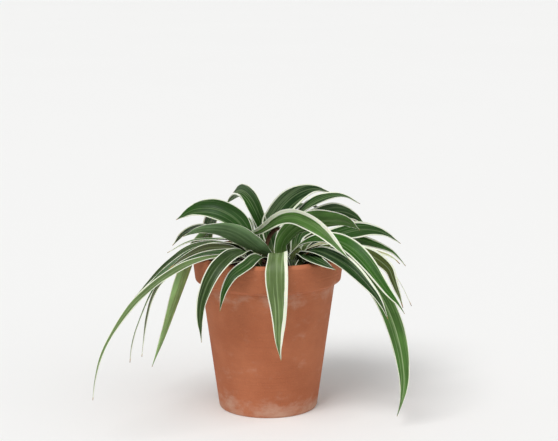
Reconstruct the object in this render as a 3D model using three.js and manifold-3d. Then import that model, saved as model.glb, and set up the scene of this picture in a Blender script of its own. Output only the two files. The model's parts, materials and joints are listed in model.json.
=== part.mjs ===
// Potted spider plant: a plain clay pot filled with soil, six short shoots and their long arching leaves.
// Millimetres, +Z up, the pot's foot on Z = 0; the side towards -Y is the front.
// Positions below are measured from the pot's axis; SET_OFF then moves every piece alike.
import * as THREE from 'three';
import Module from 'manifold-3d';

const POT_HEIGHT = 158;
const POT_RIM_RADIUS = 76;
const POT_BAND_HEIGHT = 28;
const POT_FOOT_RADIUS = 50;
const POT_WALL = 6.5;
const POT_FLOOR = 9;
const DRAIN_RADIUS = 9;
const SOIL_TOP = 147;
const SHOOT_RADIUS = 8;
const SHOOT_DEPTH = 12;       // how far a shoot stands in the soil
const SET_OFF = 7;            // the pot's place on X, so that the box around the whole plant is centred on Z
const SEAT = 0.3;             // gap kept between touching pieces
const FOOT_GAP = 0.55;        // further gap between a shoot and the middle of a leaf's foot
const STATIONS = 14;          // cross-sections along a leaf
const RIB_THICK = 1.2;
const EDGE_THICK = 0.75;

const wasm = await Module();
wasm.setup();

const plant = new THREE.Group();
plant.name = 'potted_spider_plant';

const CLAY = new THREE.MeshStandardMaterial({ color: 0xb5674a, roughness: 0.9, metalness: 0 });
const SOIL = new THREE.MeshStandardMaterial({ color: 0x3b2a1f, roughness: 1, metalness: 0 });
const SHEATH = new THREE.MeshStandardMaterial({ color: 0xb9c79a, roughness: 0.6, metalness: 0 });
const GREEN = new THREE.MeshStandardMaterial({ color: 0x5d8a3c, roughness: 0.5, metalness: 0 });
const DARK = new THREE.MeshStandardMaterial({ color: 0x3f6030, roughness: 0.5, metalness: 0 });
const GREY = new THREE.MeshStandardMaterial({ color: 0x6c8a6c, roughness: 0.6, metalness: 0 });
const PALE = new THREE.MeshStandardMaterial({ color: 0xa9bd86, roughness: 0.6, metalness: 0 });

function add(name, geometry, material) {
  const mesh = new THREE.Mesh(geometry, material);
  mesh.name = name;
  mesh.geometry.translate(SET_OFF, 0, 0);
  plant.add(mesh);
}

// A body turned about Z from [radius, height] corners.
function turned(corners, segments) {
  const g = new THREE.LatheGeometry(corners.map(([r, z]) => new THREE.Vector2(r, z)), segments);
  g.rotateX(Math.PI / 2);
  return g;
}

function toSolid(geometry) {
  const p = geometry.attributes.position, index = geometry.index;
  const seen = new Map(), verts = [], remap = [];
  for (let i = 0; i < p.count; i++) {
    const k = [p.getX(i), p.getY(i), p.getZ(i)].map(v => Math.round(v * 1e4)).join();
    if (!seen.has(k)) { seen.set(k, verts.length / 3); verts.push(p.getX(i), p.getY(i), p.getZ(i)); }
    remap.push(seen.get(k));
  }
  const tris = [];
  for (let i = 0; i < index.count; i += 3) {
    const [a, b, c] = [0, 1, 2].map(k => remap[index.getX(i + k)]);
    if (a !== b && b !== c && c !== a) tris.push(a, b, c);
  }
  const mesh = { numProp: 3, vertProperties: new Float32Array(verts), triVerts: new Uint32Array(tris) };
  return new wasm.Manifold(new wasm.Mesh(mesh));
}

function toGeometry(solid) {
  const m = solid.getMesh();
  const g = new THREE.BufferGeometry();
  g.setAttribute('position', new THREE.BufferAttribute(new Float32Array(m.vertProperties), 3));
  g.setIndex(new THREE.BufferAttribute(new Uint32Array(m.triVerts), 1));
  return g;
}

// Pot: tapered wall, straight band at the rim, rounded lip, drain hole through the floor.
const bandFoot = POT_HEIGHT - POT_BAND_HEIGHT;
const innerTop = POT_RIM_RADIUS - 7.5;
const innerFoot = POT_FOOT_RADIUS - POT_WALL + 1;
const wallAt = z => innerFoot + (innerTop - innerFoot) * (z - POT_FLOOR) / (POT_HEIGHT - 4 - POT_FLOOR);
add('pot', turned([
  [DRAIN_RADIUS, 0], [POT_FOOT_RADIUS - 1.5, 0], [POT_FOOT_RADIUS, 1.5],
  [POT_FOOT_RADIUS + 17.5, bandFoot], [POT_RIM_RADIUS - 3.5, bandFoot + 0.8],
  [POT_RIM_RADIUS - 2.6, bandFoot + 2.5],
  [POT_RIM_RADIUS, POT_HEIGHT - 3], [POT_RIM_RADIUS - 1, POT_HEIGHT - 0.9], [POT_RIM_RADIUS - 3, POT_HEIGHT],
  [innerTop + 2, POT_HEIGHT], [innerTop + 0.5, POT_HEIGHT - 1.2], [innerTop, POT_HEIGHT - 4],
  [innerFoot, POT_FLOOR], [DRAIN_RADIUS, POT_FLOOR], [DRAIN_RADIUS, 0],
], 56), CLAY);

// Shoots: short stubs that the leaves spring from, each in a plain hole in the soil.
const SHOOTS = {
  front: { at: [9, -10], top: 164 },
  left: { at: [-13, -14], top: 160 },
  right: { at: [29, -1], top: 166 },
  back: { at: [12, 19], top: 170 },
  back_left: { at: [-14, 16], top: 166 },
  far_back: { at: [0, 38], top: 164 },
};

let soil = toSolid(turned([
  [0, POT_FLOOR + SEAT], [wallAt(POT_FLOOR + SEAT) - SEAT - 0.1, POT_FLOOR + SEAT],
  [wallAt(SOIL_TOP - 2) - SEAT - 0.1, SOIL_TOP - 2], [48, SOIL_TOP - 0.6], [0, SOIL_TOP],
], 56));
for (const { at: [x, y] } of Object.values(SHOOTS)) {
  const hole = new THREE.CylinderGeometry(SHOOT_RADIUS + SEAT, SHOOT_RADIUS + SEAT, 40, 24);
  hole.rotateX(Math.PI / 2);
  hole.translate(x, y, SOIL_TOP - SHOOT_DEPTH + 20);
  soil = soil.subtract(toSolid(hole));
}
add('soil', toGeometry(soil), SOIL);

for (const [name, { at: [x, y], top }] of Object.entries(SHOOTS)) {
  const r = SHOOT_RADIUS;
  const g = turned([
    [0, SOIL_TOP - SHOOT_DEPTH + SEAT], [r - 0.15, SOIL_TOP - SHOOT_DEPTH + SEAT],
    [r - 0.15, top - 3], [r - 2, top - 0.8], [0, top],
  ], 24);
  g.translate(x, y, 0);
  add(`shoot_${name}`, g, SHEATH);
}

// A leaf: a thin blade folded along its rib, run along a smooth line from its shoot to its tip.
// bearing and foot place its foot on the shoot; roll turns the blade about its own line, foot / middle / tip.
// Options: width at the foot as a share of the full width, share of the length over which it grows to that,
// how deep the fold is, and the share of the length over which it tapers.
function leaf(name, shoot, bearing, foot, path, width, roll, material, options = {}) {
  const { foot: footWidth = 0.5, grow = 0.3, fold: foldShare = 1, taper = 0.5 } = options;
  const { at: [cx, cy] } = SHOOTS[shoot];
  const a = THREE.MathUtils.degToRad(bearing);
  const out = new THREE.Vector3(Math.cos(a), Math.sin(a), 0);
  const start = new THREE.Vector3(cx, cy, foot).addScaledVector(out, SHOOT_RADIUS + SEAT + FOOT_GAP);
  const stops = [start, ...path.map(p => new THREE.Vector3(...p))];
  const line = new THREE.CatmullRomCurve3(stops, false, 'centripetal');
  const pts = [], tan = [];
  for (let i = 0; i < STATIONS; i++) {
    pts.push(line.getPointAt(i / (STATIONS - 1)));
    tan.push(line.getTangentAt(i / (STATIONS - 1)));
  }
  let side = new THREE.Vector3(0, 0, 1).cross(out);
  const rings = [];
  for (let i = 0; i < STATIONS; i++) {
    const t = i / (STATIONS - 1);
    side.addScaledVector(tan[i], -side.dot(tan[i])).normalize();
    const up = tan[i].clone().cross(side);
    const turn = THREE.MathUtils.degToRad(t < 0.5
      ? THREE.MathUtils.lerp(roll[0], roll[1], t * 2) : THREE.MathUtils.lerp(roll[1], roll[2], t * 2 - 1));
    const s = side.clone().multiplyScalar(Math.cos(turn)).addScaledVector(up, Math.sin(turn));
    const n = tan[i].clone().cross(s);
    const full = footWidth + (1 - footWidth) * THREE.MathUtils.smoothstep(t, 0, grow);
    const fade = Math.pow(1 - Math.pow(Math.max(0, (t - (1 - taper)) / taper), 1.25), 0.9);
    const half = Math.max(0.9, 0.5 * width * full * fade);
    const fold = foldShare * half * (t < 0.15 ? 0.1 + 2 * t : 0.4 - 0.25 * (t - 0.15));
    const ring = [];
    for (const j of [-1, 0, 1]) {
      const thick = 0.5 * (j === 0 ? THREE.MathUtils.lerp(RIB_THICK, EDGE_THICK, t) : EDGE_THICK);
      const c = pts[i].clone().addScaledVector(s, j * half).addScaledVector(n, Math.abs(j) * fold);
      ring.push([c.clone().addScaledVector(n, thick), c.clone().addScaledVector(n, -thick)]);
    }
    rings.push(ring);
  }
  const pos = [], idx = [];
  for (const ring of rings) for (const [top, under] of ring) pos.push(...top.toArray(), ...under.toArray());
  const at = (i, j, k) => i * 6 + j * 2 + k;
  for (let i = 0; i + 1 < STATIONS; i++) {
    for (const j of [0, 1]) {
      idx.push(at(i, j, 0), at(i + 1, j, 0), at(i + 1, j + 1, 0));
      idx.push(at(i, j, 0), at(i + 1, j + 1, 0), at(i, j + 1, 0));
      idx.push(at(i, j, 1), at(i + 1, j + 1, 1), at(i + 1, j, 1));
      idx.push(at(i, j, 1), at(i, j + 1, 1), at(i + 1, j + 1, 1));
    }
    idx.push(at(i, 0, 0), at(i, 0, 1), at(i + 1, 0, 1), at(i, 0, 0), at(i + 1, 0, 1), at(i + 1, 0, 0));
    idx.push(at(i, 2, 0), at(i + 1, 2, 1), at(i, 2, 1), at(i, 2, 0), at(i + 1, 2, 0), at(i + 1, 2, 1));
  }
  const e = STATIONS - 1;
  for (const j of [0, 1]) {
    idx.push(at(0, j, 0), at(0, j + 1, 0), at(0, j + 1, 1), at(0, j, 0), at(0, j + 1, 1), at(0, j, 1));
    idx.push(at(e, j, 0), at(e, j + 1, 1), at(e, j + 1, 0), at(e, j, 0), at(e, j, 1), at(e, j + 1, 1));
  }
  const g = new THREE.BufferGeometry();
  g.setAttribute('position', new THREE.BufferAttribute(new Float32Array(pos), 3));
  g.setIndex(idx);
  g.computeVertexNormals();
  add(name, g, material);
}

// Leaves hanging over the left of the rim.
leaf('leaf_left_grey', 'front', 222, 157, [
  [-6, -24, 163], [-17, -28, 172], [-29, -34, 181], [-42, -40, 187], [-56, -44, 189], [-68, -46, 188],
  [-82, -44, 182],
], 21, [10, 56, 40], GREY, { foot: 0.6, grow: 0.22, taper: 0.6 });
leaf('leaf_left_top', 'back_left', 214, 160, [
  [-36, 7, 168], [-57, 12, 168], [-79, 12, 166], [-102, 10, 155],
], 13, [0, -16, -12], GREEN);
leaf('leaf_left_upper', 'back_left', 238, 153, [
  [-36, -4, 166], [-56, -12, 169], [-77, -17, 164.5], [-102, -18, 147], [-121, -18, 128],
  [-133, -18, 115],
], 16, [0, -20, -20], DARK);
leaf('leaf_left_lower', 'left', 184, 151, [
  [-38, -17, 160], [-53, -28, 164], [-70, -42, 164], [-93, -50, 152], [-110, -52, 139],
  [-124, -52, 126],
], 15, [0, -20, -20], DARK);
leaf('leaf_left_middle', 'left', 176, 149, [
  [-34, -14, 153], [-47, -15, 155.5], [-58, -13, 158.5], [-72, -7, 160], [-88, 4, 151],
  [-103, 14, 137],
], 12, [0, -12, -12], DARK);
leaf('leaf_left_fine', 'left', 152, 153, [
  [-42, -9, 161], [-67, -27, 162], [-90, -33, 151], [-110, -35, 131], [-126, -35, 98], [-134, -35, 74],
  [-137, -35, 53],
], 3.4, [0, 0, 0], GREEN);
leaf('leaf_left_olive', 'left', 219, 153, [
  [-40, -38, 162], [-57, -60, 164], [-74, -70, 160], [-95, -75, 150], [-107, -77, 135],
  [-115, -77, 110], [-121, -75, 70],
], 11, [0, 0, 0], DARK);
leaf('leaf_left_brown', 'left', 206, 157, [
  [-30, -26, 166], [-45, -42, 171], [-62, -57, 172], [-79, -67, 166], [-95, -72, 155],
], 10, [0, -24, -24], DARK);
leaf('leaf_left_inner', 'left', 258, 149, [
  [-17, -36, 153], [-25, -54, 158.5], [-33, -67, 161.5], [-42, -77, 160], [-51, -84, 152],
], 11, [0, -10, -10], DARK);
leaf('leaf_left_long', 'left', 242, 151, [
  [-34, -48, 163], [-52, -76, 167], [-71, -94, 166], [-99, -112, 153], [-126, -124, 130],
  [-150, -132, 92], [-158, -134, 66], [-161, -134, 45],
], 12, [0, -8, 0], GREEN, { taper: 0.6 });
leaf('leaf_left_pale', 'back_left', 160, 157, [
  [-36, 23, 175], [-50, 25, 180], [-62, 24, 174], [-74, 22, 160], [-86, 20, 132], [-96, 20, 104],
  [-109, 18, 64], [-120, 16, 34],
], 15, [0, 62, 62], PALE, { taper: 0.5 });
// Leaves hanging over the front of the rim.
leaf('leaf_front_left_long', 'left', 268, 153, [
  [-21, -44, 167], [-29, -64, 170], [-38, -82, 169], [-50, -94, 158], [-58, -99, 142],
  [-63, -101, 123], [-62, -100, 91],
], 14, [0, -44, -55], DARK, { taper: 0.44 });
leaf('leaf_front_left_short', 'front', 230, 150, [
  [-6, -36, 160], [-13, -58, 163], [-20, -76, 160], [-33, -86, 152], [-41, -90, 138], [-45, -90, 118],
], 12, [0, -14, -24], GREEN, { taper: 0.42 });
leaf('leaf_front_middle', 'front', 282, 150, [
  [10, -42, 162], [10, -64, 169], [9, -80, 164], [9, -88, 144], [11, -91, 115], [11, -93, 87],
  [13, -93, 71],
], 22, [0, 0, 0], GREEN, { foot: 0.4, grow: 0.45, fold: 0.5, taper: 0.49 });
leaf('leaf_front_low', 'right', 240, 148.6, [
  [24, -22, 153], [24.5, -33, 156.5], [24.5, -44, 157], [24, -55, 154], [23.5, -62, 149.5],
], 12, [0, 4, 8], GREY, { foot: 0.36 });
// Leaves arching over the right of the rim.
leaf('leaf_right_short', 'right', 282, 152, [
  [37, -33, 161.5], [43, -55, 163], [51, -71, 162], [65, -80, 156.5],
], 18, [0, 10, 36], GREEN, { foot: 0.36 });
leaf('leaf_right_low', 'right', 292, 157, [
  [38, -31, 165], [53, -56, 169], [74, -78, 162], [91, -92, 148], [105, -102, 132], [113, -106, 115],
], 17, [0, 24, 24], DARK);
leaf('leaf_right_long', 'right', 336, 151, [
  [51, -17, 161], [66, -35, 165], [86, -53, 154], [107, -64, 131], [121, -72, 102], [129, -78, 70],
  [131, -80, 39], [125, -80, 12],
], 18, [0, 24, 34], GREEN, { foot: 0.4, taper: 0.36 });
leaf('leaf_right_bright', 'front', 344, 150, [
  [25, -16, 161], [35, -23, 170.5], [47, -31, 177], [62, -41, 179], [76, -54, 176], [88, -64, 168],
  [101, -74, 154], [112, -82, 139], [123, -87, 126], [130, -90, 116],
], 17, [0, 22, 32], GREEN, { foot: 0.4, taper: 0.42 });
leaf('leaf_right_dry', 'right', 349, 157.6, [
  [53, -8.4, 164.6], [71, -15, 166], [97, -22.5, 161], [108.7, -25, 154.8], [119.5, -27, 145.2],
  [125.1, -28, 131.3], [130.7, -28, 117.1], [133.8, -28, 106.9],
], 15, [0, 34, 38], DARK, { grow: 0.5, taper: 0.42 });
leaf('leaf_right_cream', 'right', 5, 161, [
  [52, 1, 166], [66, 0, 165.5], [84, -5, 163], [97.8, -9, 161.7], [111.5, -13, 160], [123.2, -16, 156],
  [131.2, -17, 149.1],
], 8, [0, 34, 34], PALE);
leaf('leaf_right_fine', 'right', 26, 151, [
  [62, 8, 159], [85, 14, 160], [108, 17, 152], [124, 18, 138], [137, 20, 118], [147, 22, 97],
], 5, [0, 0, 0], GREEN);
leaf('leaf_right_broad', 'right', 26, 163, [
  [42, 8, 167], [59, 20, 168], [78, 34, 170.5], [99, 50, 171.5], [121, 66, 165], [140, 80, 151],
], 20, [0, 54, 56], DARK);
leaf('leaf_right_back', 'back', 8, 153, [
  [45, 28, 161], [58, 35, 166], [74, 45, 166], [91, 55, 160], [113, 67, 152], [132, 76, 142],
  [146, 83, 126],
], 16, [0, 50, 55], GREEN);
leaf('leaf_right_arch', 'left', 92, 151, [
  [-16.9, -5.6, 175.4], [-7.9, -12, 182], [2.1, -21, 190.2], [12, -31, 197.9], [21.7, -40, 201.5],
  [31.3, -48, 200.9], [40.8, -55, 197.3], [50.2, -62, 192.7], [59.5, -70, 185.4], [68.7, -79, 176.6],
  [77.3, -88, 168.3],
], 17, [0, -52, -88], GREEN, { foot: 0.25, grow: 0.66, taper: 0.36 });
leaf('leaf_right_grey', 'front', 305, 157, [
  [13.5, -20, 168], [19, -18, 177.5], [29.5, -14, 186.5], [44, -7, 190], [61, 0, 190.5],
  [78, 8, 187.5], [93, 14, 177.5],
], 25, [0, 10, 12], GREY, { foot: 0.56 });
// Leaves standing up in the middle and arching to the back.
leaf('leaf_top_left', 'back_left', 118, 161, [
  [-26, 29, 177], [-38, 34, 188], [-56, 39, 195], [-77, 46, 193], [-96, 55, 181],
], 23, [0, -22, -30], DARK);
leaf('leaf_top_left_inner', 'back_left', 20, 158, [
  [-4, 19, 178], [-9, 21, 194], [-17, 30, 208], [-27, 46, 214], [-37, 66, 208],
], 22, [0, 30, 30], GREEN);
leaf('leaf_top_middle', 'front', 108, 157, [
  [3, 4, 170], [2, 8, 181], [8, 16, 192], [18, 28, 203], [32, 44, 211], [48, 60, 213], [67, 74, 206],
], 22, [0, -8, -8], GREEN);
leaf('leaf_top_right', 'back', 352, 165, [
  [27, 23, 184], [39, 31, 196.5], [56, 38, 206], [76, 45, 208], [95, 54, 198],
], 21, [0, 40, 50], DARK);
leaf('leaf_right_inner', 'right', 102, 158, [
  [30, 14, 173], [40, 22, 182], [54, 36, 189], [71, 52, 190.5], [89, 70, 183], [103, 84, 170],
], 20, [0, 28, 30], DARK);
leaf('leaf_top_back_left', 'far_back', 140, 157, [
  [-12, 54, 182], [-20, 66, 197], [-32, 82, 202], [-46, 98, 191],
], 21, [0, 0, 0], GREEN);
leaf('leaf_top_back_right', 'far_back', 40, 157, [
  [14, 54, 180], [26, 66, 191], [42, 80, 193], [58, 95, 182],
], 21, [0, 0, 0], DARK);
// Leaves over the back of the rim.
leaf('leaf_back_right_high', 'back', 36, 155, [
  [34, 43, 178], [56, 68, 188], [82, 92, 181], [102, 108, 163],
], 19, [0, 10, 0], GREEN);
leaf('leaf_back_right', 'back', 66, 151, [
  [26, 48, 172], [36, 80, 176], [44, 106, 156], [49, 120, 117], [50, 125, 78],
], 18, [0, 0, 0], DARK);
leaf('leaf_back_middle', 'far_back', 94, 151, [
  [0, 64, 174], [2, 92, 180], [4, 117, 162], [6, 130, 124], [7, 134, 82], [7, 135, 54],
], 19, [0, 8, 0], GREEN);
leaf('leaf_back_left', 'back_left', 92, 150, [
  [-21, 50, 168], [-29, 84, 175], [-35, 110, 153], [-36, 122, 112], [-37, 126, 78],
], 17, [0, -10, 0], GREEN);
leaf('leaf_back_left_high', 'back_left', 128, 154, [
  [-36, 46, 180], [-53, 74, 184], [-64, 100, 166], [-67, 112, 134], [-67, 115, 106],
], 18, [0, 0, 0], DARK);
leaf('leaf_back_far_left', 'back_left', 169, 150.4, [
  [-44, 34, 168], [-66, 52, 174], [-88, 68, 165], [-102, 80, 149],
], 16, [0, 10, 10], DARK);

export default plant;
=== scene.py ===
import json
import math
import random
from itertools import combinations

import bmesh
import bpy
from bpy.props import FloatProperty, FloatVectorProperty, IntProperty, PointerProperty
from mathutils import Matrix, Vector, noise

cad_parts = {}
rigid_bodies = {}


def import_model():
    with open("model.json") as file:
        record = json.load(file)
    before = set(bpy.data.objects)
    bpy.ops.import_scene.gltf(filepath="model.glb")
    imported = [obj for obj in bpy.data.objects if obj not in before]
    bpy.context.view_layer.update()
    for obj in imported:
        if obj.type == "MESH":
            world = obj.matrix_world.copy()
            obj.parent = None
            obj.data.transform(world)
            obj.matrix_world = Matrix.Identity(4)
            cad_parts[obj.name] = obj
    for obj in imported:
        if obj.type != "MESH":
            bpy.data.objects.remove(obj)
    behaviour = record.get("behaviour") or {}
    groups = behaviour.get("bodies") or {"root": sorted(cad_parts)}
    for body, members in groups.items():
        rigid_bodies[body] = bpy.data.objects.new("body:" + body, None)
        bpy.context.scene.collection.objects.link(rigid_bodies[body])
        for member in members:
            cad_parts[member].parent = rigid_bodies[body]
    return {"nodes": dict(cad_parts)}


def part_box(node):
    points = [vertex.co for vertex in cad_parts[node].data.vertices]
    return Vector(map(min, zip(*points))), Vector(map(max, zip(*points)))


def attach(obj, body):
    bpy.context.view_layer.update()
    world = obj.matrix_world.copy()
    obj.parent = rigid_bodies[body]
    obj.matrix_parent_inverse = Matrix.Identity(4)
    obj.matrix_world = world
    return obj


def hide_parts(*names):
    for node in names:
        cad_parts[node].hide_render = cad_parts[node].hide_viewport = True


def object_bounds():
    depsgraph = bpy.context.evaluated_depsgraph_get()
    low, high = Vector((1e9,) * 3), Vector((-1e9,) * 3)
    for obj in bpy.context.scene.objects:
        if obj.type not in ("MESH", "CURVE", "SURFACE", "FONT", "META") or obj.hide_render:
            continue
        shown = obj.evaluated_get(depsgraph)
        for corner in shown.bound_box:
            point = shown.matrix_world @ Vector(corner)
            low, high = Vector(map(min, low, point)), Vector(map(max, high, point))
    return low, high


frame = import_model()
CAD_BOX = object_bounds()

bl_info = {
    "name": "Potted spider plant",
    "version": (1, 0, 0),
    "blender": (4, 5, 0),
    "location": "3D View > Sidebar > Plant",
    "description": "Dresses the packed spider plant: clay pot, potting soil, leaf bases and striped leaves",
    "category": "Object",
}

MM = 0.001
POT_LOW, POT_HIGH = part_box("pot")
AXIS = (POT_LOW + POT_HIGH) / 2              # the pot's axis; its z isn't used
RIM = (POT_HIGH.x - POT_LOW.x) / 2
SOIL_LOW, SOIL_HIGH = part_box("soil")
SOIL_TOP = SOIL_HIGH.z
SHOOTS = sorted(n for n in frame["nodes"] if n.startswith("shoot_"))
LEAVES = sorted(n for n in frame["nodes"] if n.startswith("leaf_"))
SLOT = {n: o.data.materials[0].name for n, o in frame["nodes"].items()}

WALL_LEAN = 24 / 145                         # how far the pot's wall leans out for each mm of height
SHEATH = 7                                   # steps of a leaf's base, which clasps its shoot below the foot
CLASP = math.radians(62)                     # how far a base reaches round its shoot each way, at the soil
TIP = 0.1                                    # share of a blade over which it runs out to a point
INSIDE = 0.4 * MM                            # the finer blades stay this far inside the CAD's box
LUMP = 16 * MM                               # size of the soil's larger lumps


def linear(hex_colour):
    """An sRGB colour such as 5A823C as linear red, green and blue."""
    parts = [int(hex_colour[i:i + 2], 16) / 255 for i in (0, 2, 4)]
    return tuple(c / 12.92 if c <= 0.04045 else ((c + 0.055) / 1.055) ** 2.4 for c in parts)


# Greens of the leaves: the young are fresh, the old dull, those deep in the plant near black.
# The near-black shadow green is painted shade, for the leaves that lie in the shade deep in the plant.
SHADES = {
    "pale": "98BF7C", "grey": "69865C", "light": "617745", "mid": "4B7031", "fresh": "2A5A0C",
    "full": "23480F", "deep": "18390B", "dull": "2C4219", "moss": "3C5A30", "olive": "424E18",
    "brownish": "444A2C", "shadow": "141F0E", "straw": "B0A67E", "faded": "6A6A46",
}
# Each leaf as it shows: its green, white margin in mm on its left and on its right (looking from foot to tip
# with the upper side towards the eye), pale stripes, pale midrib, mm of dry tip.
LOOKS = {
    # This leaf's grey green is partly its own green and partly painted sheen, the grey of light reflected off
    # its upper side.
    "leaf_left_grey": ("grey", 0.8, 0.1, 0.3, 0.15, 2),
    "leaf_left_top": ("moss", 0.9, 0.5, 0.4, 0.1, 3),
    "leaf_left_upper": ("dull", 0.4, 0.8, 0.4, 0.2, 3),
    "leaf_left_lower": ("moss", 0.3, 0.7, 0.4, 0.3, 3),
    "leaf_left_middle": ("dull", 0.3, 0.6, 0.2, 0.1, 3),
    "leaf_left_brown": ("brownish", 0.3, 0.5, 0.2, 0.1, 6),
    "leaf_left_inner": ("shadow", 0.3, 0.4, 0.2, 0.1, 3),
    "leaf_left_fine": ("moss", 0.3, 0.3, 0.2, 0.0, 4),
    "leaf_left_olive": ("brownish", 0.4, 0.5, 0.3, 0.2, 3),
    "leaf_left_long": ("light", 0.7, 0.6, 0.3, 0.2, 3),
    "leaf_left_pale": ("pale", 0.4, 0.6, 0.5, 0.2, 2),
    "leaf_front_left_long": ("dull", 0.9, 0.5, 0.3, 0.1, 2),
    "leaf_front_left_short": ("full", 0.9, 0.5, 0.3, 0.1, 3),
    "leaf_front_middle": ("light", 1.0, 3.2, 0.8, 0.3, 2),
    "leaf_front_low": ("shadow", 0.3, 0.5, 0.3, 0.1, 3),
    "leaf_right_short": ("deep", 0.6, 0.7, 0.3, 0.2, 2),
    "leaf_right_low": ("deep", 0.5, 2.0, 0.3, 0.1, 3),
    "leaf_right_long": ("mid", 0.7, 0.8, 0.4, 0.6, 2),
    "leaf_right_bright": ("fresh", 1.4, 1.3, 0.3, 0.1, 2),
    "leaf_right_dry": ("olive", 0.8, 1.9, 0.3, 0.2, 5),
    "leaf_right_cream": ("straw", 1.2, 1.0, 0.6, 0.3, 5),
    "leaf_right_fine": ("faded", 0.5, 0.5, 0.3, 0.0, 5),
    "leaf_right_broad": ("full", 1.6, 1.7, 0.4, 0.2, 3),
    "leaf_right_back": ("fresh", 1.4, 1.5, 0.4, 0.1, 3),
    "leaf_right_arch": ("mid", 1.1, 3.6, 0.4, 0.1, 2),
    "leaf_right_grey": ("mid", 0.6, 0.4, 0.4, 0.2, 2),
    "leaf_right_inner": ("full", 1.0, 1.2, 0.4, 0.2, 3),
    "leaf_top_left": ("full", 0.7, 1.0, 0.3, 0.1, 3),
    "leaf_top_left_inner": ("full", 0.7, 0.8, 0.4, 0.2, 3),
    "leaf_top_middle": ("deep", 1.8, 1.4, 0.3, 0.2, 3),
    "leaf_top_right": ("full", 1.2, 1.3, 0.3, 0.1, 3),
}
USUAL_LOOK = {
    "leaf_green": ("mid", 1.1, 1.3, 0.4, 0.2, 3),
    "leaf_dark": ("full", 1.0, 1.2, 0.4, 0.2, 3),
}


class PlantPot(bpy.types.PropertyGroup):
    rim_radius: FloatProperty(
        name="Rim radius", description="Outer radius of the pot at its lip", default=RIM, min=0.02,
        unit="LENGTH")
    height: FloatProperty(
        name="Height", description="Height of the pot", default=POT_HIGH.z, min=0.02, unit="LENGTH")
    band: FloatProperty(
        name="Rim band", description="Height of the thicker band below the lip", default=0.028, min=0.0,
        unit="LENGTH")
    rounding: FloatProperty(
        name="Rounding", description="Radius of the worn edges", default=0.0011, min=0.0, unit="LENGTH")
    clay: FloatVectorProperty(
        name="Clay", description="Colour of the fired clay", subtype="COLOR", default=linear("B9714F"),
        min=0, max=1)
    bloom: FloatVectorProperty(
        name="Bloom", description="Colour of the lime that water leaves on the clay", subtype="COLOR",
        default=linear("D9C2AE"), min=0, max=1)


class PlantSoil(bpy.types.PropertyGroup):
    crumbs: IntProperty(name="Crumbs", description="Loose crumbs on the soil", default=620, min=0, max=3000)
    crumb_size: FloatProperty(
        name="Crumb size", description="Radius of the largest crumb", default=0.0024, min=0.0002,
        unit="LENGTH")
    grit: IntProperty(
        name="Grit", description="Pale grains of volcanic grit among the crumbs", default=46, min=0, max=500)
    peat: FloatVectorProperty(
        name="Peat", description="Colour of the damp peat", subtype="COLOR", default=linear("33241A"),
        min=0, max=1)
    grit_colour: FloatVectorProperty(
        name="Grit colour", description="Colour of the grit", subtype="COLOR", default=linear("D8D2C6"),
        min=0, max=1)


class PlantLeaves(bpy.types.PropertyGroup):
    along: IntProperty(
        name="Steps along", description="Faces from foot to tip", default=78, min=13, max=200)
    across: IntProperty(
        name="Steps across", description="Faces from margin to margin", default=12, min=2, max=40)
    thickness: FloatProperty(
        name="Thickness", description="Thickness of a blade", default=0.00055, min=0.0001, unit="LENGTH")
    scraps: IntProperty(
        name="Dried remains", description="Dried old leaf ends at each shoot", default=2, min=0, max=8)
    wave: FloatProperty(
        name="Wave", description="How far a margin waves up and down", default=0.0005, min=0.0,
        unit="LENGTH")
    margin: FloatVectorProperty(
        name="Margin", description="Colour of the white margins", subtype="COLOR", default=linear("EEF0DF"),
        min=0, max=1)
    stripe: FloatVectorProperty(
        name="Stripe", description="Colour of the pale stripes in the green", subtype="COLOR",
        default=linear("A9BF8C"), min=0, max=1)
    base: FloatVectorProperty(
        name="Base", description="Colour of a leaf where it leaves its shoot", subtype="COLOR",
        default=linear("8F9D66"), min=0, max=1)
    dry: FloatVectorProperty(
        name="Dry tip", description="Colour of a dried tip", subtype="COLOR", default=linear("B4976A"),
        min=0, max=1)


class PlantStage(bpy.types.PropertyGroup):
    floor: FloatVectorProperty(
        name="Floor", description="Colour of the floor", subtype="COLOR", default=linear("F4F4F3"),
        min=0, max=1)
    key: FloatProperty(
        name="Key light", description="Strength of the broad light from the upper left", default=2.0, min=0.0)
    fill: FloatProperty(
        name="Fill light", description="Strength of the very soft light from the right", default=0.5, min=0.0)
    sky: FloatProperty(
        name="Surroundings", description="Strength of the even light from all round", default=0.42, min=0.0)


# ---------------------------------------------------------------- materials

def add(tree, kind, inputs=(), take=None, **settings):
    """Add one shader node with its settings; each input is given a value or the socket it is linked from.
    Gives back the node, or the output that take names."""
    made = tree.nodes.new("ShaderNode" + kind)
    for key, value in settings.items():
        setattr(made, key, value)
    for key, value in dict(inputs).items():
        if isinstance(value, bpy.types.NodeSocket):
            tree.links.new(value, made.inputs[key])
        else:
            made.inputs[key].default_value = value
    return made if take is None else made.outputs[take]


def surface(name, **constants):
    """A new material with its Principled shader, whose even values are set on its own sockets."""
    mat = bpy.data.materials.new(name)
    mat.use_nodes = True
    tree = mat.node_tree
    tree.nodes.clear()
    skin = add(tree, "BsdfPrincipled", {k.replace("_", " "): v for k, v in constants.items()})
    out = add(tree, "OutputMaterial", {"Surface": skin.outputs[0]})
    skin.location, out.location = (0, 0), (300, 0)
    return mat, tree, skin


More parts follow.
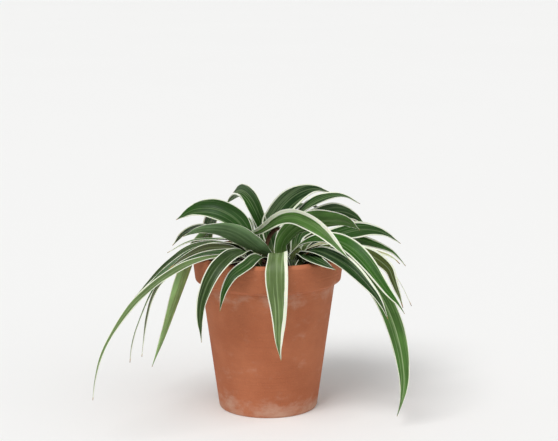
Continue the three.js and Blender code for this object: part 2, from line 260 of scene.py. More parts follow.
def leaf_skin(name, under, sizes):
    """Living leaf: waxy skin over green flesh, striped along its veins, with margins that hold no green.
    Upper side: a soft gloss that breaks along the veins. Underside: greyer and duller, the midrib proud."""
    mat, tree, skin = surface(
        name, IOR=1.45, Specular_IOR_Level=0.24, Subsurface_Weight=0.1, Subsurface_Scale=0.0012)
    skin.inputs["Subsurface Radius"].default_value = (0.6, 1.0, 0.25)
    # run: mm from midrib, mm from foot, seed. edge: mm inside each white margin, mm from tip.
    # habit: stripes, pale midrib, mm of dry tip. tint: the leaf's own green.
    run, edge, habit = (
        add(tree, "Attribute", take="Vector", attribute_name=key) for key in ("run", "edge", "habit"))
    tint = add(tree, "Attribute", take="Color", attribute_name="tint")
    place = add(tree, "TexCoord", take="Object")
    across, along, _ = add(tree, "SeparateXYZ", {0: run}).outputs
    left, right, to_tip = add(tree, "SeparateXYZ", {0: edge}).outputs
    stripes, midrib, dried = add(tree, "SeparateXYZ", {0: habit}).outputs
    # Bundles of veins are 1.4 mm wide and stay together for 90 mm; single veins are 0.5 mm apart; strokes of
    # lighter and darker green are 5 mm wide and 40 mm long. The third number is for the seed.
    patterns = []
    for wide, long, apart in ((1.4, 90, 7.3), (0.5, 60, 3.1), (5.0, 40, 5.9)):
        spot = add(tree, "VectorMath", {0: run, 1: (1 / wide, 1 / long, apart)}, 0, operation="MULTIPLY")
        values = {"Vector": spot, "Scale": 1.0, "Detail": 1.5, "Roughness": 0.5}
        patterns.append(add(tree, "TexNoise", values, 0))
    bundles, veins, strokes = patterns
    # Mottling of the flesh, 18 mm across.
    mottle = add(tree, "TexNoise", {"Vector": place, "Scale": 1 / 0.018, "Detail": 2.0, "Roughness": 0.6}, 0)
    from_rib = add(tree, "Math", {0: across}, 0, operation="ABSOLUTE")
    # The margins end along veins, so their inner line steps from one bundle to the next; so does the dry tip.
    nearer = add(tree, "Math", {0: left, 1: right}, 0, operation="MINIMUM")
    inner = add(tree, "Math", {0: bundles, 1: 1.2, 2: nearer}, 0, operation="MULTIPLY_ADD")
    stepped = add(tree, "Math", {0: bundles, 1: 3.0, 2: to_tip}, 0, operation="MULTIPLY_ADD")
    dry_length = add(tree, "Math", {0: dried, 1: 0.5}, 0, operation="MAXIMUM")
    tip = add(tree, "Math", {0: stepped, 1: dry_length}, 0, operation="DIVIDE")
    # Each share: its pattern, the span read from it, and what it gives at the low and the high end.
    ranges = {
        "vein_tone": (veins, 0.3, 0.7, 0.88, 1.1),
        "mottle_tone": (mottle, 0.3, 0.7, 0.9, 1.08),
        "stroke_tone": (strokes, 0.35, 0.65, 0.84, 1.12),
        "streak": (bundles, 0.54, 0.63, 0.0, 0.4 if under else 0.55),
        "rib": (from_rib, 0.35, 0.85, 1.0, 0.0),
        "base": (along, -2.0, 12.0, 0.4, 0.0),
        "white": (inner, 0.5, 0.78, 1.0, 0.0),
        "white_vein": (veins, 0.35, 0.65, 0.0, 0.3),
        "dry": (tip, 0.9, 1.7, 1.0, 0.0),
        "burnt": (tip, 0.3, 0.9, 0.8, 0.0),
        "groove": (from_rib, 0.0, 1.4, 1.8 if under else -1.6, 0.0),
        "gloss": (veins, 0.3, 0.7, 0.5 if under else 0.36, 0.62 if under else 0.48),
    }
    share = {}
    for key, (value, low, high, at_low, at_high) in ranges.items():
        spans = {"Value": value, "From Min": low, "From Max": high, "To Min": at_low, "To Max": at_high}
        share[key] = add(tree, "MapRange", spans, 0, interpolation_type="SMOOTHSTEP")
    colour = tint
    for key in ("vein_tone", "mottle_tone", "stroke_tone"):
        colour = add(tree, "VectorMath", {0: colour, "Scale": share[key]}, 0, operation="SCALE")
    pale, margin = (*sizes.stripe, 1.0), (*sizes.margin, 1.0)
    margin = add(tree, "Mix", {0: share["white_vein"], 6: margin, 7: pale}, 2, data_type="RGBA")
    layers = [
        (add(tree, "Math", {0: share["streak"], 1: stripes}, 0, operation="MULTIPLY"), pale),
        (add(tree, "Math", {0: share["rib"], 1: midrib}, 0, operation="MULTIPLY"), pale),
        (share["base"], (*sizes.base, 1.0)),
        (share["white"], margin),
        (share["dry"], (*sizes.dry, 1.0)),
        (share["burnt"], (*linear("5E4329"), 1.0)),
    ]
    if under:
        # A grey bloom all over.
        layers.append((0.22, (*linear("8FA08C"), 1.0)))
    for part, over in layers:
        colour = add(tree, "Mix", {0: part, 6: colour, 7: over}, 2, data_type="RGBA")
    tree.links.new(colour, skin.inputs["Base Color"])
    dulled = add(tree, "Math", {0: share["dry"], 1: 0.3, 2: share["gloss"]}, 0, operation="MULTIPLY_ADD")
    tree.links.new(dulled, skin.inputs["Roughness"])
    height = add(tree, "Math", {0: veins, 1: 0.45, 2: share["groove"]}, 0, operation="MULTIPLY_ADD")
    height = add(tree, "Math", {0: bundles, 1: 0.9, 2: height}, 0, operation="MULTIPLY_ADD")
    relief = add(tree, "Bump", {"Strength": 0.75, "Distance": 0.22 * MM, "Height": height}, 0)
    tree.links.new(relief, skin.inputs["Normal"])
    return mat


def clay_skin(sizes):
    """Terracotta: unglazed, thrown and fired clay. Dead matt and fine grained, with faint turning lines and a
    little lime where water dried."""
    mat, tree, skin = surface("Terracotta, unglazed", IOR=1.5, Specular_IOR_Level=0.25)
    place = add(tree, "TexCoord", take="Object")
    # Firing clouds 45 mm across, grains of 0.9 mm, turning lines 2.4 mm apart, lime in patches of 20 mm.
    patterns = []
    for size, detail, stretch in (
            (0.045, 3.0, (1, 1, 1)), (0.0009, 1.0, (1, 1, 1)), (0.012, 2.0, (0.06, 0.06, 5.0)),
            (0.02, 5.0, (1, 1, 1.6))):
        spot = add(tree, "Mapping", {"Vector": place, "Scale": stretch}, 0)
        values = {"Vector": spot, "Scale": 1 / size, "Detail": detail, "Roughness": 0.6}
        patterns.append(add(tree, "TexNoise", values, 0))
    cloud, grain, turning, lime = patterns
    under_band = POT_HIGH.z - 34 * MM
    high = add(tree, "SeparateXYZ", {0: place}).outputs[2]
    above = add(tree, "Math", {0: high, 1: under_band}, 0, operation="SUBTRACT")
    off_band = add(tree, "Math", {0: above}, 0, operation="ABSOLUTE")
    ranges = {
        "cloud": (cloud, 0.3, 0.7, 0.0, 1.0),
        "pale_grain": (grain, 0.62, 0.72, 0.0, 0.35),
        "dark_grain": (grain, 0.28, 0.38, 0.35, 0.0),
        "foot_tide": (high, 0.0, 0.03, 0.3, 0.0),
        "band_tide": (off_band, 0.0, 0.016, 0.2, 0.0),
        "matt": (grain, 0.3, 0.7, 0.8, 0.95),
    }
    share = {}
    for key, (value, low, high_end, at_low, at_high) in ranges.items():
        spans = {"Value": value, "From Min": low, "From Max": high_end, "To Min": at_low, "To Max": at_high}
        share[key] = add(tree, "MapRange", spans, 0, interpolation_type="SMOOTHSTEP")
    # Lime gathers in a tide line above the foot and under the band.
    tide = add(tree, "Math", {0: share["foot_tide"], 1: share["band_tide"]}, 0, operation="ADD")
    limed = add(tree, "Math", {0: tide, 1: lime}, 0, operation="ADD")
    patch = add(tree, "MapRange", {"Value": limed, "From Min": 0.56, "From Max": 0.98, "To Max": 0.42}, 0,
                interpolation_type="SMOOTHSTEP")
    colour = (*sizes.clay, 1.0)
    for part, over in (
            (share["cloud"], [c * s for c, s in zip(sizes.clay, (0.84, 0.78, 0.74))]),
            (share["pale_grain"], [min(1.0, c * 1.35) for c in sizes.clay]),
            (share["dark_grain"], [c * 0.5 for c in sizes.clay]),
            (patch, sizes.bloom)):
        colour = add(tree, "Mix", {0: part, 6: colour, 7: (*over, 1.0)}, 2, data_type="RGBA")
    tree.links.new(colour, skin.inputs["Base Color"])
    tree.links.new(share["matt"], skin.inputs["Roughness"])
    fine = add(tree, "Math", {0: grain, 1: 0.5}, 0, operation="MULTIPLY")
    height = add(tree, "Math", {0: turning, 1: 1.6, 2: fine}, 0, operation="MULTIPLY_ADD")
    relief = add(tree, "Bump", {"Strength": 0.6, "Distance": 0.5 * MM, "Height": height}, 0)
    tree.links.new(relief, skin.inputs["Normal"])
    return mat


def fibrous_skin(name, dark, pale, size, stretch=(1, 1, 1), **constants):
    """Peat, bark, grit and old leaf: two tones in grains or fibres of a given size, rough and matt."""
    mat, tree, skin = surface(name, **{"IOR": 1.45, "Specular_IOR_Level": 0.2, **constants})
    place = add(tree, "Mapping", {"Vector": add(tree, "TexCoord", take="Object"), "Scale": stretch}, 0)
    grain = add(tree, "TexNoise", {"Vector": place, "Scale": 1 / size, "Detail": 4.0, "Roughness": 0.7}, 0)
    share = add(tree, "MapRange", {"Value": grain, "From Min": 0.35, "From Max": 0.7}, 0)
    colour = add(tree, "Mix", {0: share, 6: (*dark, 1.0), 7: (*pale, 1.0)}, 2, data_type="RGBA")
    rough = add(tree, "MapRange", {"Value": grain, "To Min": 0.7, "To Max": 0.95}, 0)
    relief = add(tree, "Bump", {"Strength": 0.9, "Distance": size * 0.6, "Height": grain}, 0)
    for value, socket in ((colour, "Base Color"), (rough, "Roughness"), (relief, "Normal")):
        tree.links.new(value, skin.inputs[socket])
    return mat


# ---------------------------------------------------------------- modelling

def fresh():
    """Leave edit mode and select nothing, so that the next operator acts only on what it adds."""
    if bpy.context.object and bpy.context.object.mode != "OBJECT":
        bpy.ops.object.mode_set(mode="OBJECT")
    bpy.ops.object.select_all(action="DESELECT")


def settle(ob, name, *materials):
    """Name a piece, put its place into its mesh and give it its materials."""
    fresh()
    ob.name = ob.data.name = name
    ob.select_set(True)
    bpy.context.view_layer.objects.active = ob
    bpy.ops.object.transform_apply(location=True, rotation=True, scale=True)
    ob.data.materials.clear()
    for mat in materials:
        ob.data.materials.append(mat)


def modify(ob, kind, **settings):
    """Add one modifier and apply it."""
    mod = ob.modifiers.new(kind.title(), kind)
    for key, value in settings.items():
        setattr(mod, key, value)
    bpy.context.view_layer.objects.active = ob
    bpy.ops.object.modifier_apply(modifier=mod.name)


def turned(corners, segments, closed=True):
    """A ring extruded from one (radius, height) corner to the next, in metres, about the pot's axis."""
    fresh()
    radius, height = corners[0]
    bpy.ops.mesh.primitive_circle_add(vertices=segments, radius=radius, location=(AXIS.x, AXIS.y, height))
    bpy.ops.object.mode_set(mode="EDIT")
    bpy.ops.mesh.select_all(action="SELECT")
    for r, z in corners[1:]:
        bpy.ops.mesh.extrude_edges_move(TRANSFORM_OT_translate={"value": (0, 0, z - height)})
        bpy.ops.transform.resize(value=(r / radius, r / radius, 1), center_override=(AXIS.x, AXIS.y, z))
        radius, height = r, z
    if closed:
        bpy.ops.mesh.select_all(action="DESELECT")
        bpy.ops.mesh.select_non_manifold()
        bpy.ops.mesh.bridge_edge_loops()
    bpy.ops.mesh.select_all(action="SELECT")
    bpy.ops.mesh.normals_make_consistent(inside=False)
    bpy.ops.object.mode_set(mode="OBJECT")
    return bpy.context.object


def rings(name):
    """The corners of a packed leaf in rings of six, from one end of the blade to the other."""
    bm = bmesh.new()
    bm.from_mesh(frame["nodes"][name].data)
    bmesh.ops.remove_doubles(bm, verts=bm.verts, dist=0.02 * MM)
    corners = list(bm.verts)
    # The six corners that lie closest together are one cross-section.
    start = min(corners, key=lambda v: sorted((w.co - v.co).length for w in corners)[5])
    ring = sorted(corners, key=lambda v: (v.co - start.co).length)[:6]
    # The last section reached is an end of the blade, so the second round starts there.
    for _ in range(2):
        found, seen = [], set()
        while ring:
            found.append(ring)
            seen.update(ring)
            ring = [v for v in {e.other_vert(w) for w in ring for e in w.link_edges} if v not in seen]
        ring = found[-1]
    found = [[v.co.copy() for v in r] for r in found]
    bm.free()
    if any(len(r) != 6 for r in found):
        raise RuntimeError(f"{name} isn't a blade of six-cornered cross-sections")
    return found


def rib_and_margins(corners):
    """The middles of a ring's three pairs of corners, each pair through the blade: the midrib's, then the
    margins'."""
    left, pairs = list(corners), []
    while left:
        a, b = min(combinations(left, 2), key=lambda p: (p[0] - p[1]).length)
        pairs.append((a, b))
        left = [p for p in left if p is not a and p is not b]
    middles = [(a + b) / 2 for a, b in pairs]
    rib = min(range(3), key=lambda i: sum((middles[i] - m).length for m in middles))
    return [middles[rib]] + [m for i, m in enumerate(middles) if i != rib]


def cross_sections(name):
    """A leaf's cross-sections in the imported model, foot first: left margin, midrib, right margin and the way
    up. Then the middle of its shoot, and the level direction from there to the leaf's foot."""
    bases = [(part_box(s)[0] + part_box(s)[1]) / 2 for s in SHOOTS]
    found = rings(name)
    first, final = (
        min((sum(r, Vector()) / 6 - b).xy.length for b in bases) for r in (found[0], found[-1]))
    if first > final:
        found.reverse()
    sections = [rib_and_margins(corners) for corners in found]
    foot = sections[0][0]
    base = min(bases, key=lambda b: (b - foot).xy.length)
    out = (foot - base).xy.to_3d().normalized()
    side = Vector((0, 0, 1)).cross(out)
    result = []
    for i, (rib, one, other) in enumerate(sections):
        if (other - one).dot(side) < 0:
            one, other = other, one
        side = (other - one).normalized()
        ahead = sections[min(i + 1, len(sections) - 1)][0] - sections[max(i - 1, 0)][0]
        result.append((one, rib, other, ahead.cross(side).normalized()))
    return result, base, out


def spline(points, t):
    """A point on the smooth line through equally spaced points, t running from 0 to the last index."""
    i = min(int(t), len(points) - 2)
    f = t - i
    p0, p1, p2, p3 = (points[max(0, min(len(points) - 1, k))] for k in (i - 1, i, i + 1, i + 2))
    if i == 0:
        p0 = p1 * 2 - p2
    if i == len(points) - 2:
        p3 = p2 * 2 - p1
    bent, twisted = 2 * p0 - 5 * p1 + 4 * p2 - p3, 3 * p1 - p0 - 3 * p2 + p3
    return 0.5 * (2 * p1 + (p2 - p0) * f + bent * f * f + twisted * f ** 3)


def clasping_rows(base, out, foot, half_foot, number, across):
    """The rows of a leaf's base, each an arc about the shoot, narrowing up to the blade's foot; and how far
    each row lies along the leaf, in mm from its foot."""
    bearing = math.atan2(out.y, out.x)
    reach = (foot - base).xy.length
    floor = SOIL_TOP - 1.5 * MM
    tier = (0.35 + 0.12 * (number % 5)) * MM     # the bases on a shoot lie one over the other
    rows, runs = [], []
    for j in range(SHEATH):
        f = j / SHEATH
        z = floor + (foot.z - 1.2 * MM - floor) * f
        r = reach - 1.35 * MM + tier + 0.5 * MM * f * f
        wrap = CLASP * (1 - f) ** 0.8 + math.asin(min(0.95, half_foot / reach)) * (1 - (1 - f) ** 0.8)
        turns = [bearing + (-1 + 2 * k / across) * wrap for k in range(across + 1)]
        rows.append([Vector((base.x + r * math.cos(a), base.y + r * math.sin(a), z)) for a in turns])
        runs.append((z - foot.z) / MM)
    return rows, runs


def blade_rows(lefts, ribs, rights, ups, sizes, seed):
    """The rows of a blade from its foot to its tip, and how far each lies along the leaf, in mm."""
    last = len(ribs) - 1
    wave_length, nick_length, nick_depth = 30 * MM, 16 * MM, 0.035
    slight, sharp = 0.4, 0.8                     # bends from which margins begin to droop, and droop fully
    rows, runs = [], []
    gone = 0.0
    for j in range(sizes.along + 1):
        t = last * j / sizes.along
        left, mid, right = spline(lefts, t), spline(ribs, t), spline(rights, t)
        up = spline(ups, t).normalized()
        if rows:
            gone += (mid - before).length
        before = mid
        # The tip runs out to a point.
        point = 0.16 + 0.84 * min(1.0, (1 - j / sizes.along) / TIP) ** 0.8
        left, right = mid + (left - mid) * point, mid + (right - mid) * point
        half = (right - left).length / 2
        lift = ((left + right) / 2 - mid).dot(up)
        # Where a blade bends over sharply its channel flattens and its margins droop.
        behind, ahead = spline(ribs, max(t - 1, 0)), spline(ribs, min(t + 1, last))
        bend = (mid - behind).angle(ahead - mid) if 2 < t < last - 1 else 0.0
        droop = min(1.0, max(0.0, (bend - slight) / (sharp - slight))) * min(1.0, t - 2)
        narrowed = 1 - 0.14 * droop
        left, right = mid + (left - mid) * narrowed, mid + (right - mid) * narrowed
        row = []
        for k in range(sizes.across + 1):
            s = -1 + 2 * k / sizes.across
            q = abs(s)
            spot = mid + ((right if s > 0 else left) - mid) * q
            # A rounded channel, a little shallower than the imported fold.
            rounded = 0.14 * math.sin(math.pi * q) * min(1.0, half / (5 * MM))
            spot -= up * lift * (rounded + 0.35 * q * (1 - droop))
            spot -= up * (lift + 0.4 * half) * droop * q * q
            # The margins wave up and down, and draw in here and there.
            sway = noise.noise(Vector((gone / wave_length, s * 1.7, seed)))
            spot += up * sizes.wave * sway * q * q * 2.2 * min(1.0, half / (4 * MM)) * min(1.0, j / 8)
            nick = noise.noise(Vector((gone / nick_length, 9.0 + (s > 0) * 5, seed))) * nick_depth * q
            spot += (mid - spot) * max(0.0, nick)
            row.append(spot)
        rows.append(row)
        runs.append(gone / MM)
    return rows, runs


def blade(name, number, sizes, skins):
    """One leaf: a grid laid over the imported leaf's cross-sections, clasping its shoot below, then given its
    thickness."""
    sections, base, out = cross_sections(name)
    shade, white_left, white_right, stripes, rib, dry = LOOKS.get(name) or USUAL_LOOK[SLOT[name]]
    green = (*linear(SHADES[shade]), 1.0)
    seed = number * 3.7                          # each leaf reads its own part of every noise
    lefts, ribs, rights, ups = zip(*sections)
    length = sum((b - a).length for a, b in zip(ribs, ribs[1:]))
    widest = max((r - l).length for l, r in zip(lefts, rights))
    half_foot = (rights[0] - lefts[0]).length / 2
    rows, runs = clasping_rows(base, out, ribs[0], half_foot, number, sizes.across)
    more_rows, more_runs = blade_rows(lefts, ribs, rights, ups, sizes, seed)
    rows, runs = rows + more_rows, runs + more_runs
    fresh()
    down = len(rows) - 1
    bpy.ops.mesh.primitive_grid_add(x_subdivisions=sizes.across, y_subdivisions=down, size=1, calc_uvs=True)
    ob = bpy.context.object
    me = ob.data
    me.uv_layers[0].name = "Blade"
    low, high = CAD_BOX
    run, edge, habit, tint = [], [], [], []
    for v in me.vertices:
        k = round((0.5 - v.co.x) * sizes.across)     # from right to left, so that faces look up
        j = round((v.co.y + 0.5) * down)
        v.co = [min(max(c, l + INSIDE), h - INSIDE) for c, l, h in zip(rows[j][k], low, high)]
        wide = sum((b - a).length for a, b in zip(rows[j], rows[j][1:])) / MM
        half = wide / 2
        s = -1 + 2 * k / sizes.across
        # Towards the narrow ends the veins draw together a little, and the white margins get slimmer.
        run += [s * max(half, 0.35 * widest / MM / 2 + 0.65 * half), runs[j], seed]
        slim = min(1.0, wide / (0.55 * widest / MM))
        edge += [(1 + s) * half - white_left * slim, (1 - s) * half - white_right * slim]
        edge.append(length / MM - runs[j])
        habit += [stripes, rib, dry]
        tint += green
    for key, values in (("run", run), ("edge", edge), ("habit", habit)):
        me.attributes.new(key, "FLOAT_VECTOR", "POINT").data.foreach_set("vector", values)
    me.attributes.new("tint", "FLOAT_COLOR", "POINT").data.foreach_set("color", tint)
    modify(ob, "SOLIDIFY", thickness=sizes.thickness, offset=0.0, material_offset=1, material_offset_rim=0,
           use_quality_normals=True)
    settle(ob, name.replace("leaf_", "blade_"), *skins)
    bpy.ops.object.shade_smooth_by_angle(angle=math.radians(50))
    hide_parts(name)
    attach(ob, "root")


# ---------------------------------------------------------------- pieces

class PLANT_OT_stage(bpy.types.Operator):
    """Pale floor, soft studio light and the camera"""
    bl_idname = "plant.stage"
    bl_label = "Set the stage"

    def execute(self, context):
        sizes = context.scene.plant_stage
        fresh()
        bpy.ops.mesh.primitive_plane_add(size=120, location=(0, 20, 0))
        floor = bpy.context.object
        mat, tree, skin = surface("Studio floor, matt paint", Roughness=0.85, Specular_IOR_Level=0.2)
        place = add(tree, "TexCoord", take="Object")
        cloud = add(tree, "TexNoise", {"Vector": place, "Scale": 0.8, "Detail": 2.0}, 0)
        plain, shaded = (*sizes.floor, 1.0), (*[c * 0.985 for c in sizes.floor], 1.0)
        paint = add(tree, "Mix", {0: cloud, 6: plain, 7: shaded}, 2, data_type="RGBA")
        tree.links.new(paint, skin.inputs["Base Color"])
        settle(floor, "floor", mat)
        # Each light: its strength, how many degrees wide it is and which way it shines.
        for name, power, wide, towards in (
                ("key_light", sizes.key, 34, (0.42, 0.62, -1.0)),
                ("fill_light", sizes.fill, 70, (-0.7, 0.5, -0.8))):
            bpy.ops.object.light_add(type="SUN", location=(-0.6, -0.9, 1.4))
            lamp = bpy.context.object
            lamp.name = name
            lamp.data.energy, lamp.data.angle = power, math.radians(wide)
            lamp.rotation_mode = "QUATERNION"
            lamp.rotation_quaternion = Vector(towards).to_track_quat("-Z", "Y")
        world = bpy.data.worlds.new("studio")
        world.use_nodes = True
        sky = world.node_tree.nodes["Background"]
        sky.inputs["Color"].default_value = (1, 1, 1, 1)
        sky.inputs["Strength"].default_value = sizes.sky
        context.scene.world = world
        # 1.4 m off and 10 degrees up, where one millimetre at the pot's axis is one pixel.
        bpy.ops.object.camera_add(location=(0.018, -1.37873, 0.43311), rotation=(math.radians(80), 0, 0))
        camera = bpy.context.object
        camera.data.lens, camera.data.sensor_width, camera.data.sensor_fit = 90.32, 36, "HORIZONTAL"
        context.scene.camera = camera
        context.scene.view_settings.view_transform = "Standard"
        return {"FINISHED"}


class PLANT_OT_pot(bpy.types.Operator):
    """The clay pot: tapered wall, band at the rim, rounded lip, drain hole"""
    bl_idname = "plant.pot"
    bl_label = "Clay pot"

    def execute(self, context):
        sizes = context.scene.plant_pot
        high, rim, band = sizes.height, sizes.rim_radius, sizes.height - sizes.band
        foot, hole, floor = rim - 26 * MM, 9 * MM, 9 * MM
        # The wall's outline as (radius, height), from the drain hole outwards and round to it again.
        bottom = [
            (hole + 1 * MM, 0), (foot - 9 * MM, 0), (foot - 8 * MM, 1.2 * MM), (foot - 4.5 * MM, 1.2 * MM),
            (foot - 3.5 * MM, 0), (foot - 0.8 * MM, 0), (foot, 1.8 * MM)]
        outside = [
            (foot + 17.2 * MM, band - 1.2 * MM), (rim - 5 * MM, band + 0.2 * MM),
            (rim - 2.9 * MM, band + 1.6 * MM), (rim - 2.6 * MM, band + 3.4 * MM),
            (rim - 0.4 * MM, high - 6 * MM)]
        lip = [
            (rim, high - 3 * MM), (rim - 1.2 * MM, high - 0.8 * MM), (rim - 3.2 * MM, high),
            (rim - 5.4 * MM, high - 0.1 * MM), (rim - 7 * MM, high - 1.6 * MM),
            (rim - 7.6 * MM, high - 5 * MM)]
        inside = [
            (foot - 5.5 * MM, floor + 4 * MM), (foot - 9 * MM, floor), (hole + 1.2 * MM, floor),
            (hole, floor - 1.2 * MM), (hole, 1.2 * MM)]
        pot = turned(bottom + outside + lip + inside, 144)
        modify(pot, "BEVEL", width=sizes.rounding, segments=3, limit_method="ANGLE",
               angle_limit=math.radians(14))
        settle(pot, "clay_pot", clay_skin(sizes))
        bpy.ops.object.shade_smooth_by_angle(angle=math.radians(40))
        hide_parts("pot")
        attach(pot, "root")
        return {"FINISHED"}


def crumb(shape, spot, size, top, draw):
    """One crumb as a mesh: the shape stretched, turned and roughened at random, lying on the soil's top."""
    big = size * (0.25 + 0.75 * draw.random() ** 2.2)
    piece = bmesh.new()
    piece.from_mesh(shape)
    stretched = Vector((draw.uniform(0.7, 1.3), draw.uniform(0.7, 1.3), draw.uniform(0.5, 0.9))) * big
    turn = draw.uniform(0, math.tau)
    high = top + 0.3 * big + noise.noise(spot / LUMP) * 1.6 * MM
    for v in piece.verts:
        rough = v.co * (1 + 0.25 * draw.uniform(-1, 1))
        p = Vector(a * b for a, b in zip(rough, stretched))
        x, y = p.x * math.cos(turn) - p.y * math.sin(turn), p.x * math.sin(turn) + p.y * math.cos(turn)
        v.co = Vector((x, y, p.z)) + spot + Vector((0, 0, high))
    mesh = bpy.data.meshes.new("crumb")
    piece.to_mesh(mesh)
    piece.free()
    return mesh


class PLANT_OT_soil(bpy.types.Operator):
    """Potting soil with an uneven top, loose crumbs and grit"""
    bl_idname = "plant.soil"
    bl_label = "Potting soil"

    def execute(self, context):
        sizes = context.scene.plant_soil
        bottom = SOIL_LOW.z
        radius = (SOIL_HIGH.x - SOIL_LOW.x) / 2
        foot = radius - (SOIL_TOP - bottom) * WALL_LEAN
        top = SOIL_TOP - 1.6 * MM
        # The outline up the wall, then ring after ring in to the middle for the lumps.
        corners = [
            (0.2 * MM, bottom), (foot, bottom), (radius - 0.6 * MM, top - 3 * MM),
            (radius - 1.2 * MM, top - 0.6 * MM), *((radius * k / 30, top) for k in range(29, 0, -1)),
            (0.2 * MM, top)]
        ground = turned(corners, 120, closed=False)
        bpy.ops.object.mode_set(mode="EDIT")
        bpy.ops.mesh.select_all(action="SELECT")
        bpy.ops.mesh.remove_doubles(threshold=0.3 * MM)
        bpy.ops.object.mode_set(mode="OBJECT")
        for v in ground.data.vertices:
            at = v.co + ground.location
            if at.z > top - 0.3 * MM:
                lump = noise.noise(at / LUMP) * 1.6
                lump += noise.noise(at / (5.5 * MM)) * 1.1
                lump += noise.noise(at / (2.2 * MM)) * 0.7
                v.co.z += lump * MM
        light_peat = [min(1, c * 2.6) for c in sizes.peat]
        settle(ground, "soil_ground", fibrous_skin("Peat compost, damp", sizes.peat, light_peat, 0.0016))
        bpy.ops.object.shade_smooth()
        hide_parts("soil")
        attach(ground, "root")
        draw = random.Random(41)
        stems = [((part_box(s)[0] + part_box(s)[1]) / 2).xy for s in SHOOTS]
        clear = 9.5 * MM                         # how far the crumbs keep from the middle of a shoot
        dark_bark, pale_bark = [c * 0.8 for c in sizes.peat], [min(1, c * 3.4) for c in sizes.peat]
        shaded_grit = [c * 0.6 for c in sizes.grit_colour]
        for name, count, size, mat in (
                ("soil_crumbs", sizes.crumbs, sizes.crumb_size,
                 fibrous_skin("Bark crumbs", dark_bark, pale_bark, 0.0011)),
                ("soil_grit", sizes.grit, sizes.crumb_size * 0.62,
                 fibrous_skin("Volcanic grit", shaded_grit, list(sizes.grit_colour), 0.0007))):
            fresh()
            bpy.ops.mesh.primitive_ico_sphere_add(subdivisions=1, radius=1)
            grains = bpy.context.object
            whole = bmesh.new()
            made = 0
            while made < count:
                r, a = (radius - 3 * MM) * math.sqrt(draw.random()), draw.uniform(0, math.tau)
                spot = Vector((AXIS.x + r * math.cos(a), AXIS.y + r * math.sin(a), 0))
                if any((spot.xy - s).length < clear for s in stems):
                    continue
                mesh = crumb(grains.data, spot, size, top, draw)
                whole.from_mesh(mesh)
                bpy.data.meshes.remove(mesh)
                made += 1
            whole.to_mesh(grains.data)
            whole.free()
            settle(grains, name, mat)
            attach(grains, "root")
        return {"FINISHED"}


class PLANT_OT_shoots(bpy.types.Operator):
    """The short shoots that the leaves clasp, each a wrapped bud"""
    bl_idname = "plant.shoots"
    bl_label = "Shoots"

    def execute(self, context):
        # Pale fibrous leaf bases, both tones darkened with painted shade for the shade that falls deep in the
        # crown between the leaves.
        mat = fibrous_skin("Leaf bases, pale and fibrous, darkened by painted shade", linear("38451F"), linear("7F8C55"), 0.0012,
                           (1, 1, 0.06), Subsurface_Weight=0.1, Subsurface_Scale=0.002)
        neck = SOIL_TOP + 2 * MM
        for name in SHOOTS:
            low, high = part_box(name)
            middle, radius = (low + high) / 2, (high.x - low.x) / 2
            wide = 0.8
            fresh()
            bpy.ops.mesh.primitive_circle_add(vertices=36, radius=radius * wide, fill_type="NGON",
                                              location=(middle.x, middle.y, low.z))
            bud = bpy.context.object
            bpy.ops.object.mode_set(mode="EDIT")
            bpy.ops.mesh.select_all(action="SELECT")
            # Heights as shares of the way, 0 to 1 up to the neck and 1 to 2 from there to the point; and how
            # wide the bud is there.
            for share, to in (
                    (0.0, 1.0), (1.0, 1.0), (1.25, 0.9), (1.5, 0.74),
                    (1.72, 0.5), (1.88, 0.26), (1.98, 0.07)):
                z = low.z + (neck - low.z) * share if share <= 1 else neck + (high.z - neck) * (share - 1)
                z = max(z, low.z + 0.6 * MM)
                rise = z - max(v.co.z for v in bmesh.from_edit_mesh(bud.data).verts) - low.z
                bpy.ops.mesh.extrude_region_move(TRANSFORM_OT_translate={"value": (0, 0, rise)})
                grown = to / wide
                bpy.ops.transform.resize(value=(grown, grown, 1), center_override=(middle.x, middle.y, z))
                wide = to
            bpy.ops.mesh.select_all(action="SELECT")
            bpy.ops.mesh.normals_make_consistent(inside=False)
            bpy.ops.object.mode_set(mode="OBJECT")
            # Rolled leaves: their three edges wind about the bud.
            for v in bud.data.vertices:
                p = v.co.copy()
                turn = math.atan2(p.y, p.x) - 70 * p.z
                notch = (turn / math.tau * 3) % 1.0
                v.co.x, v.co.y = p.x * (1 - 0.1 * notch), p.y * (1 - 0.1 * notch)
            settle(bud, name.replace("shoot_", "bud_"), mat)
            bpy.ops.object.shade_smooth_by_angle(angle=math.radians(50))
            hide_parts(name)
            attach(bud, "root")
        return {"FINISHED"}


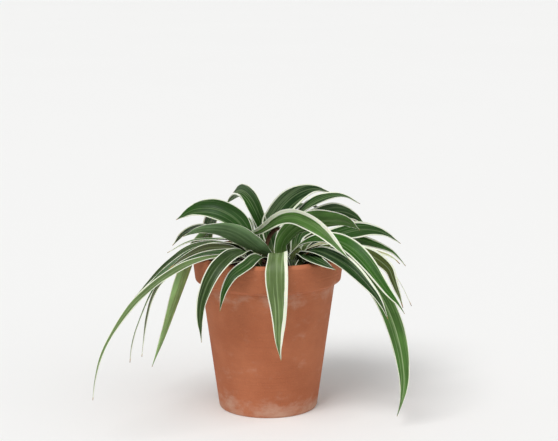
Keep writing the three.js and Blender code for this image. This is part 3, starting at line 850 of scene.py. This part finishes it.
class PLANT_OT_scraps(bpy.types.Operator):
    """Dried brown remains of old leaves, curled between the shoots"""
    bl_idname = "plant.scraps"
    bl_label = "Dried remains"

    def execute(self, context):
        sizes = context.scene.plant_leaves
        mat = fibrous_skin("Dead leaf, dry and papery", linear("241812"), linear("6A4A34"), 0.0011,
                           (1, 1, 0.08))
        draw = random.Random(77)
        wall = 62                                # in mm from the axis; the remains end before it
        # Lines and widths in mm, from the pot's axis. The first, the one that shows, hooks over between the
        # two leaves in the middle.
        hooked = [
            (-1, -14, 158), (-1.4, -14, 166), (0.1, -14, 172.5), (3.1, -14, 179), (7, -13.5, 183),
            (11, -13, 184.2), (15.5, -13, 183.4)]
        lines = [(hooked, 4.6)]
        for name in SHOOTS:
            low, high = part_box(name)
            middle = (low + high) / 2
            x, y, r = (middle.x - AXIS.x) / MM, (middle.y - AXIS.y) / MM, (high.x - low.x) / 2 / MM + 3.2
            for _ in range(sizes.scraps):
                a, rise = draw.uniform(0, math.tau), draw.uniform(1.5, 4.0)
                line = []
                for k in range(5):
                    far, turn = r + 5.5 * k, a + 0.12 * k
                    z = SOIL_TOP / MM + 0.6 + rise * math.sin(0.75 * k) * (k > 0)
                    line.append((x + far * math.cos(turn), y + far * math.sin(turn), z))
                if all(math.hypot(p, q) < wall for p, q, _ in line):
                    lines.append((line, draw.uniform(2.0, 3.2)))
        for number, (line, width) in enumerate(lines):
            points = [Vector(p) * MM + Vector((AXIS.x, AXIS.y, 0)) for p in line]
            last = len(points) - 1
            fresh()
            bpy.ops.mesh.primitive_grid_add(x_subdivisions=4, y_subdivisions=24, size=1)
            scrap = bpy.context.object
            for v in scrap.data.vertices:
                t = (v.co.y + 0.5) * last
                ahead = spline(points, min(t + 0.05, last)) - spline(points, max(t - 0.05, 0))
                side = ahead.cross(Vector((0.3, 1.0, 0.2))).normalized()
                up = side.cross(ahead).normalized()
                curl = v.co.x * (2.6 + 1.2 * noise.noise(Vector((t * 0.9, number, 3.0))))
                half = width * MM / 2.2 * (1 - 0.55 * abs(v.co.y * 2) ** 3)
                v.co = spline(points, t) + side * half * math.sin(curl)
                v.co += up * half * (math.cos(curl) - 0.6) * 0.9
            modify(scrap, "SOLIDIFY", thickness=0.3 * MM, offset=0.0)
            settle(scrap, f"dried_remains_{number + 1}", mat)
            bpy.ops.object.shade_smooth_by_angle(angle=math.radians(50))
            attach(scrap, "root")
        return {"FINISHED"}


class PLANT_OT_leaves(bpy.types.Operator):
    """All leaves: long channelled blades with white margins, each over its packed leaf"""
    bl_idname = "plant.leaves"
    bl_label = "Leaves"

    def execute(self, context):
        sizes = context.scene.plant_leaves
        skins = (leaf_skin("Spider plant leaf, waxy upper side", False, sizes),
                 leaf_skin("Spider plant leaf, dull underside", True, sizes))
        for number, name in enumerate(LEAVES):
            blade(name, number, sizes, skins)
        return {"FINISHED"}


class PLANT_PT_panel(bpy.types.Panel):
    bl_idname = "PLANT_PT_panel"
    bl_label = "Potted spider plant"
    bl_space_type = "VIEW_3D"
    bl_region_type = "UI"
    bl_category = "Plant"

    def draw(self, context):
        for group, operators in PARTS:
            box = self.layout.box()
            for operator in operators:
                box.operator(operator.bl_idname)
            values = getattr(context.scene, group)
            for key in values.__annotations__:
                box.prop(values, key)


# The panel's boxes: each property group with its operators, in the order in which they run.
PARTS = (
    ("plant_stage", (PLANT_OT_stage,)),
    ("plant_pot", (PLANT_OT_pot,)),
    ("plant_soil", (PLANT_OT_soil,)),
    ("plant_leaves", (PLANT_OT_shoots, PLANT_OT_scraps, PLANT_OT_leaves)),
)
GROUPS = {
    "plant_stage": PlantStage, "plant_pot": PlantPot, "plant_soil": PlantSoil, "plant_leaves": PlantLeaves}
CLASSES = (*GROUPS.values(), *(o for _, some in PARTS for o in some), PLANT_PT_panel)


def register():
    for cls in CLASSES:
        bpy.utils.register_class(cls)
    for key, cls in GROUPS.items():
        setattr(bpy.types.Scene, key, PointerProperty(type=cls))


def unregister():
    for key in GROUPS:
        delattr(bpy.types.Scene, key)
    for cls in reversed(CLASSES):
        bpy.utils.unregister_class(cls)


def main():
    for name in ("Cube", "Light", "Camera"):
        if name in bpy.data.objects:
            bpy.data.objects.remove(bpy.data.objects[name])
    register()
    bpy.ops.plant.stage()
    bpy.ops.plant.pot()
    bpy.ops.plant.soil()
    bpy.ops.plant.shoots()
    bpy.ops.plant.scraps()
    bpy.ops.plant.leaves()


if __name__ == "__main__":
    main()
